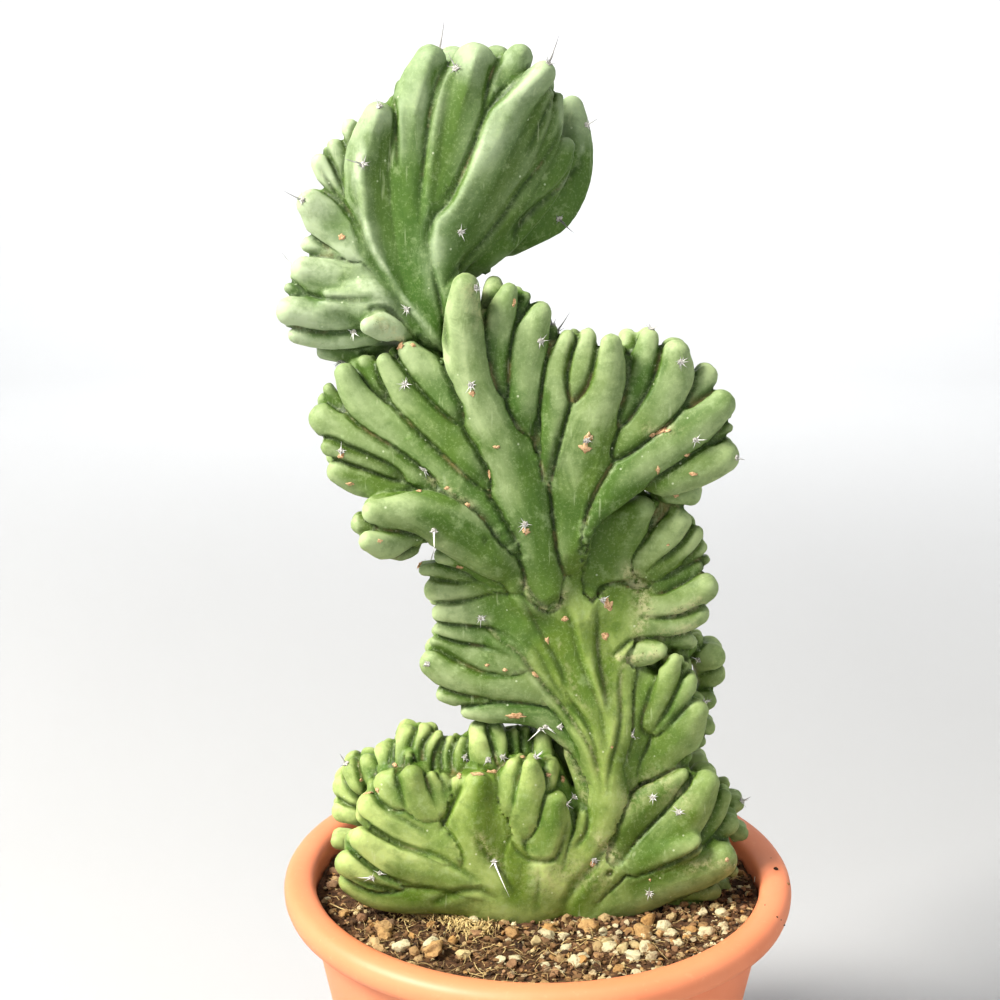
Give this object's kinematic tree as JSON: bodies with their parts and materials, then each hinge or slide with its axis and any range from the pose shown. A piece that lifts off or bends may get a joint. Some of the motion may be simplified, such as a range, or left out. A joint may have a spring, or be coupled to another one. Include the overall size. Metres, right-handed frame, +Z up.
{
  "type": "potted crested bilberry cactus",
  "caption": "Crested bilberry cactus with ribbed, fan-shaped combs and short spines, growing in gritty soil in a round tapered plastic pot.",
  "frame": {"origin": "middle of the pot's base, on the surface it stands on", "axes": "+Z up, along the pot's axis; -Y towards the front of the plant, +X to its right seen from the front"},
  "size_m": [0.2, 0.2, 0.4689],
  "materials": {
    "pot_plastic": "terracotta-coloured moulded plastic with a soft sheen",
    "soil_mix": "loose dark peat fibre with fine pumice grit",
    "cactus_skin": "waxy green skin with a pale bloom, felted areoles and grey spines",
    "pumice": "cream and yellow pumice, dry and pitted"
  },
  "bodies": {
    "root": {"pot": "pot_plastic", "soil": "soil_mix", "cactus": "cactus_skin", "pumice_01": "pumice", "pumice_02": "pumice", "pumice_03": "pumice", "pumice_04": "pumice", "pumice_05": "pumice", "pumice_06": "pumice", "pumice_07": "pumice", "pumice_08": "pumice", "pumice_09": "pumice", "pumice_10": "pumice", "pumice_11": "pumice", "pumice_12": "pumice", "pumice_13": "pumice", "pumice_14": "pumice", "pumice_15": "pumice", "pumice_16": "pumice", "pumice_17": "pumice", "pumice_18": "pumice", "pumice_19": "pumice", "pumice_20": "pumice"}
  },
  "joints": []
}
